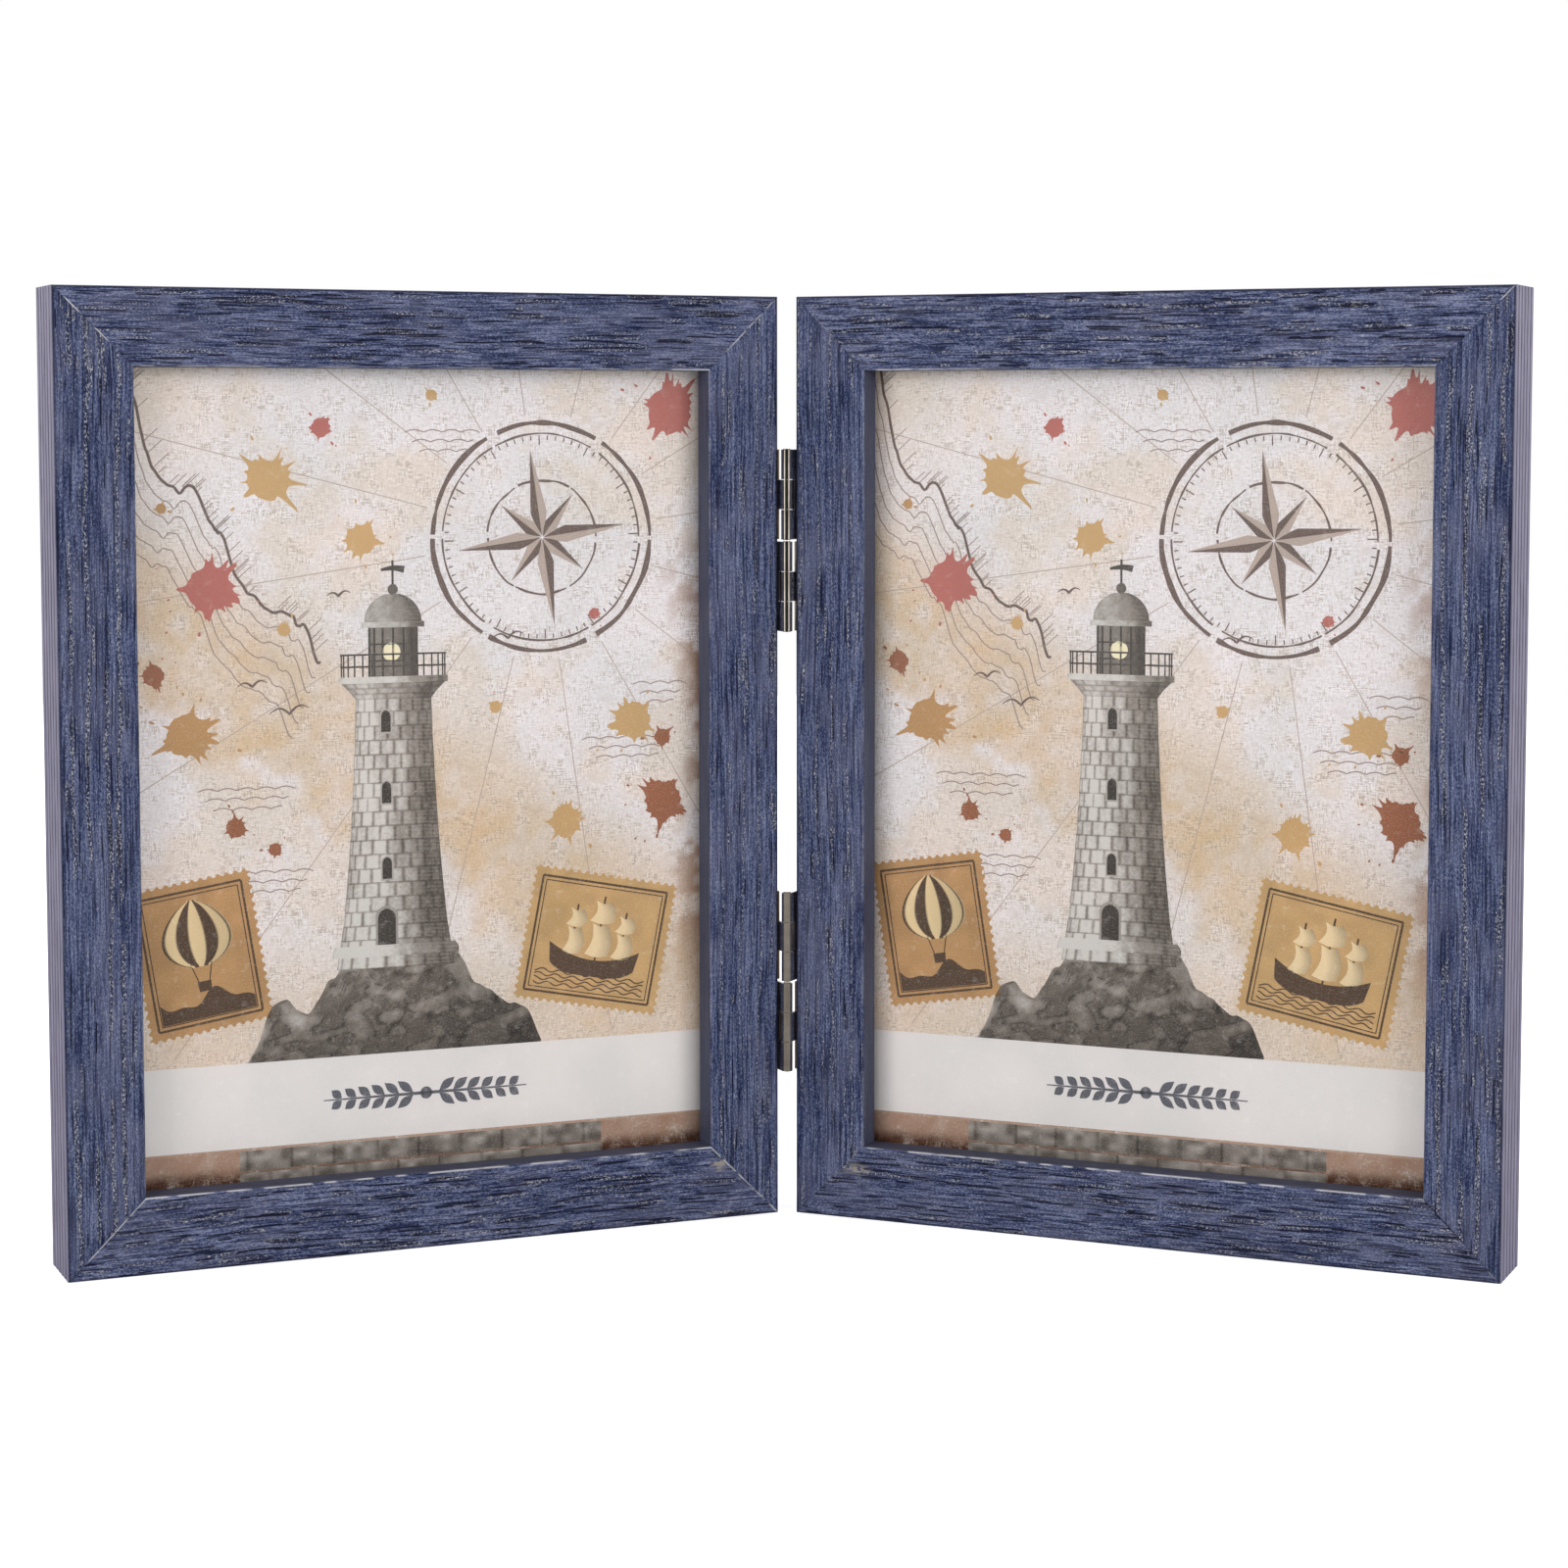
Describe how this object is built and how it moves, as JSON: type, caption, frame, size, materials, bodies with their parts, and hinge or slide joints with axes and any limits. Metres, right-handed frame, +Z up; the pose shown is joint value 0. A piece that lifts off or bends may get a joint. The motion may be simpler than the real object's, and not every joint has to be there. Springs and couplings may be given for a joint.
{
  "type": "hinged double photo frame",
  "caption": "Free-standing double picture frame: two glazed wooden frames joined by small butt hinges so that they open and close like a book, with turn buttons behind.",
  "frame": {"origin": "the middle of the base: the centre of the standing frame's width and depth, on the table", "axes": "+X to the viewer's right across both halves, +Y away from the viewer, towards the backs, +Z up"},
  "size_m": [0.3114, 0.0802, 0.2065],
  "materials": {
    "painted_wood": "slate-blue stained and open-grained, satin",
    "glass": "clear float glass",
    "print": "matt printed card",
    "pad_card": "corrugated card",
    "hardboard": "brown hardboard",
    "nail_steel": "plain steel",
    "zinc_steel": "zinc-plated steel",
    "hinge_nickel": "bright nickel-plated steel"
  },
  "bodies": {
    "left_half": {"left_inner_stile": "painted_wood", "left_top_rail": "painted_wood", "left_outer_stile": "painted_wood", "left_bottom_rail": "painted_wood", "left_glass": "glass", "left_print": "print", "left_filler_pad": "pad_card", "left_backing_board": "hardboard", "left_corner_nails": "nail_steel", "left_turn_button_screws": "zinc_steel", "left_hinge_screws": "hinge_nickel", "upper_hinge_a_left_leaf": "hinge_nickel", "upper_hinge_b_left_leaf": "hinge_nickel", "upper_hinge_b_pin": "hinge_nickel", "lower_hinge_a_left_leaf": "hinge_nickel", "lower_hinge_b_left_leaf": "hinge_nickel", "lower_hinge_b_pin": "hinge_nickel"},
    "right_half": {"right_inner_stile": "painted_wood", "right_top_rail": "painted_wood", "right_outer_stile": "painted_wood", "right_bottom_rail": "painted_wood", "right_glass": "glass", "right_print": "print", "right_filler_pad": "pad_card", "right_backing_board": "hardboard", "right_corner_nails": "nail_steel", "right_turn_button_screws": "zinc_steel", "right_hinge_screws": "hinge_nickel", "upper_hinge_a_right_leaf": "hinge_nickel", "upper_hinge_a_pin": "hinge_nickel", "upper_hinge_b_right_leaf": "hinge_nickel", "lower_hinge_a_right_leaf": "hinge_nickel", "lower_hinge_a_pin": "hinge_nickel", "lower_hinge_b_right_leaf": "hinge_nickel"},
    "left_inner_turn_button": {"left_inner_turn_button": "zinc_steel"},
    "left_top_turn_button": {"left_top_turn_button": "zinc_steel"},
    "left_outer_turn_button": {"left_outer_turn_button": "zinc_steel"},
    "left_bottom_turn_button": {"left_bottom_turn_button": "zinc_steel"},
    "right_inner_turn_button": {"right_inner_turn_button": "zinc_steel"},
    "right_top_turn_button": {"right_top_turn_button": "zinc_steel"},
    "right_outer_turn_button": {"right_outer_turn_button": "zinc_steel"},
    "right_bottom_turn_button": {"right_bottom_turn_button": "zinc_steel"}
  },
  "joints": [
    {"name": "book_fold", "type": "hinge", "parent": "left_half", "child": "right_half", "pos_m": [0, 0.02189, 0.10325], "axis": [0, 0, 1], "range_deg": [-133.2, 46.8]},
    {"name": "left_inner_turn_button_swing", "type": "hinge", "parent": "left_half", "child": "left_inner_turn_button", "pos_m": [-0.01506, 0.03716, 0.10325], "axis": [-0.3971, 0.9178, 0], "range_deg": [-90, 90]},
    {"name": "left_top_turn_button_swing", "type": "hinge", "parent": "left_half", "child": "left_top_turn_button", "pos_m": [-0.08251, 0.00797, 0.2], "axis": [-0.3971, 0.9178, 0], "range_deg": [-90, 90]},
    {"name": "left_outer_turn_button_swing", "type": "hinge", "parent": "left_half", "child": "left_outer_turn_button", "pos_m": [-0.14997, -0.02122, 0.10325], "axis": [-0.3971, 0.9178, 0], "range_deg": [-90, 90]},
    {"name": "left_bottom_turn_button_swing", "type": "hinge", "parent": "left_half", "child": "left_bottom_turn_button", "pos_m": [-0.08251, 0.00797, 0.0065], "axis": [-0.3971, 0.9178, 0], "range_deg": [-90, 90]},
    {"name": "right_inner_turn_button_swing", "type": "hinge", "parent": "right_half", "child": "right_inner_turn_button", "pos_m": [0.01506, 0.03716, 0.10325], "axis": [0.3971, 0.9178, 0], "range_deg": [-90, 90]},
    {"name": "right_top_turn_button_swing", "type": "hinge", "parent": "right_half", "child": "right_top_turn_button", "pos_m": [0.08251, 0.00797, 0.2], "axis": [0.3971, 0.9178, 0], "range_deg": [-90, 90]},
    {"name": "right_outer_turn_button_swing", "type": "hinge", "parent": "right_half", "child": "right_outer_turn_button", "pos_m": [0.14997, -0.02122, 0.10325], "axis": [0.3971, 0.9178, 0], "range_deg": [-90, 90]},
    {"name": "right_bottom_turn_button_swing", "type": "hinge", "parent": "right_half", "child": "right_bottom_turn_button", "pos_m": [0.08251, 0.00797, 0.0065], "axis": [0.3971, 0.9178, 0], "range_deg": [-90, 90]}
  ]
}
